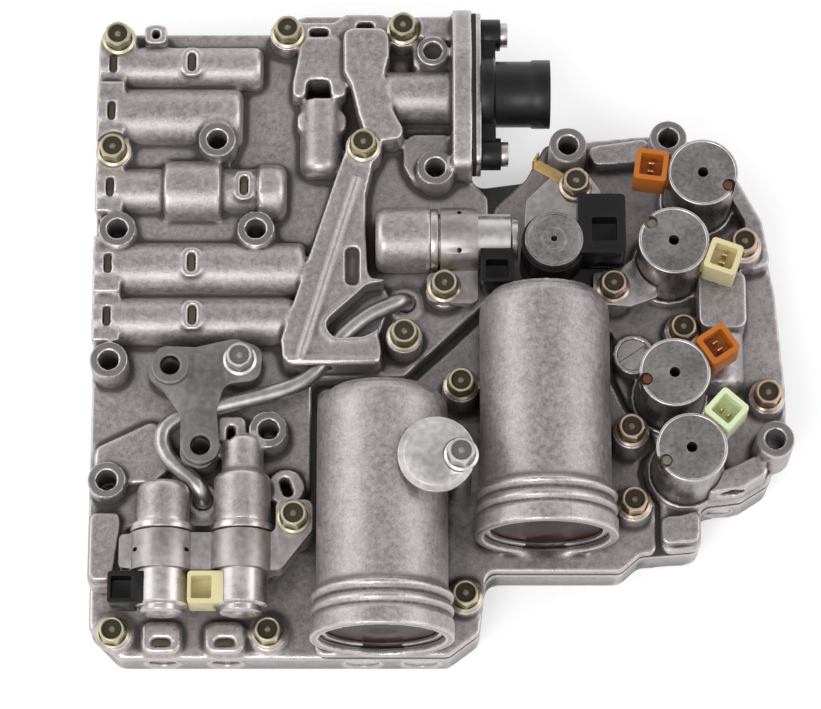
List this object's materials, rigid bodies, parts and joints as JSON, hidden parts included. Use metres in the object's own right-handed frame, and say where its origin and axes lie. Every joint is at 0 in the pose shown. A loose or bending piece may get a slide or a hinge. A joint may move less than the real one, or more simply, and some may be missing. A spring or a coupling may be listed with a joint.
{
  "type": "transmission valve body",
  "caption": "Automatic transmission valve body: ribbed aluminium castings with spool valves, beaded accumulator cylinders, clamped solenoids with coloured connectors and a harness plug",
  "frame": {"origin": "on the case face (the flat underside), near the middle of the footprint", "axes": "+Z away from the case, towards the solenoids; +X along the longest side, towards the shift solenoids; +Y towards the harness connector"},
  "size_m": [0.2784, 0.268, 0.0834],
  "materials": {
    "cast_aluminium": "sand-blasted die casting",
    "machined_aluminium": "machined",
    "steel": "satin",
    "plate_steel": "oiled sheet",
    "gold_zinc": "yellow zinc plated",
    "spring_steel": "oiled",
    "seal_rubber": "moulded",
    "gasket_rubber": "moulded",
    "black_plastic": "moulded",
    "orange_plastic": "moulded",
    "cream_plastic": "moulded",
    "green_plastic": "moulded",
    "brass": "stamped"
  },
  "bodies": {
    "body": {"base_casting": "cast_aluminium", "separator_plate": "plate_steel", "upper_casting": "cast_aluminium", "accumulator_casting": "cast_aluminium", "solenoid_casting": "cast_aluminium", "twin_solenoid_clamp": "machined_aluminium", "single_solenoid_clamp": "machined_aluminium", "hold_down_bracket": "machined_aluminium", "steel_tube": "steel", "retainer_disc": "steel", "rear_keeper_plate": "steel", "side_keeper_plate": "steel", "earth_tab": "brass", "bore_plugs": "machined_aluminium", "retaining_keys": "steel", "flange_bolts": "gold_zinc", "steel_bolts": "steel", "accumulator_caps": "steel", "snap_rings": "steel", "spring_rib_1": "spring_steel", "spring_rib_2": "spring_steel", "spring_rib_3": "spring_steel", "spring_rib_4": "spring_steel", "spring_rib_5": "spring_steel", "spring_base_1": "spring_steel", "spring_base_2": "spring_steel", "spring_floor": "spring_steel", "accumulator_spring_1": "spring_steel", "accumulator_spring_2": "spring_steel", "shift_can_a": "steel", "shift_can_b": "steel", "shift_can_c": "steel", "shift_can_d": "steel", "shift_connector_a": "orange_plastic", "shift_connector_b": "cream_plastic", "shift_connector_c": "orange_plastic", "shift_connector_d": "green_plastic", "black_solenoid_can": "steel", "black_solenoid_housing": "black_plastic", "pressure_solenoid_cans": "steel", "level_solenoid_connector": "black_plastic", "front_solenoid_connector_1": "black_plastic", "front_solenoid_connector_2": "cream_plastic", "harness_gasket": "gasket_rubber", "harness_plate": "steel", "harness_shell": "black_plastic", "harness_pins": "brass", "harness_screws": "steel"},
    "spool_rib_1_body": {"spool_rib_1": "machined_aluminium"},
    "spool_rib_2_body": {"spool_rib_2": "machined_aluminium"},
    "spool_rib_3_body": {"spool_rib_3": "machined_aluminium"},
    "spool_rib_4_body": {"spool_rib_4": "machined_aluminium"},
    "spool_rib_5_body": {"spool_rib_5": "machined_aluminium"},
    "spool_base_1_body": {"spool_base_1": "machined_aluminium"},
    "spool_base_2_body": {"spool_base_2": "machined_aluminium"},
    "spool_floor_body": {"spool_floor": "machined_aluminium"},
    "piston_1_body": {"accumulator_piston_1": "machined_aluminium", "piston_seals_1": "seal_rubber"},
    "piston_2_body": {"accumulator_piston_2": "machined_aluminium", "piston_seals_2": "seal_rubber"}
  },
  "joints": [
    {"name": "spool_rib_1_slide", "type": "slide", "parent": "body", "child": "spool_rib_1_body", "axis": [-1, 0, 0], "range_m": [0, 0.005], "stiffness_N_per_m": 300, "deforming": ["spring_rib_1"]},
    {"name": "spool_rib_2_slide", "type": "slide", "parent": "body", "child": "spool_rib_2_body", "axis": [-1, 0, 0], "range_m": [0, 0.005], "stiffness_N_per_m": 300, "deforming": ["spring_rib_2"]},
    {"name": "spool_rib_3_slide", "type": "slide", "parent": "body", "child": "spool_rib_3_body", "axis": [-1, 0, 0], "range_m": [0, 0.005], "stiffness_N_per_m": 300, "deforming": ["spring_rib_3"]},
    {"name": "spool_rib_4_slide", "type": "slide", "parent": "body", "child": "spool_rib_4_body", "axis": [-1, 0, 0], "range_m": [0, 0.005], "stiffness_N_per_m": 300, "deforming": ["spring_rib_4"]},
    {"name": "spool_rib_5_slide", "type": "slide", "parent": "body", "child": "spool_rib_5_body", "axis": [-1, 0, 0], "range_m": [0, 0.005], "stiffness_N_per_m": 300, "deforming": ["spring_rib_5"]},
    {"name": "spool_base_1_slide", "type": "slide", "parent": "body", "child": "spool_base_1_body", "axis": [0, -1, 0], "range_m": [0, 0.005], "stiffness_N_per_m": 300, "deforming": ["spring_base_1"]},
    {"name": "spool_base_2_slide", "type": "slide", "parent": "body", "child": "spool_base_2_body", "axis": [0, -1, 0], "range_m": [0, 0.005], "stiffness_N_per_m": 300, "deforming": ["spring_base_2"]},
    {"name": "spool_floor_slide", "type": "slide", "parent": "body", "child": "spool_floor_body", "axis": [0, 1, 0], "range_m": [0, 0.005], "stiffness_N_per_m": 300, "deforming": ["spring_floor"]},
    {"name": "piston_1_slide", "type": "slide", "parent": "body", "child": "piston_1_body", "axis": [0, -1, 0], "range_m": [0, 0.018], "stiffness_N_per_m": 3000, "deforming": ["accumulator_spring_1"]},
    {"name": "piston_2_slide", "type": "slide", "parent": "body", "child": "piston_2_body", "axis": [0, -1, 0], "range_m": [0, 0.018], "stiffness_N_per_m": 3000, "deforming": ["accumulator_spring_2"]}
  ]
}
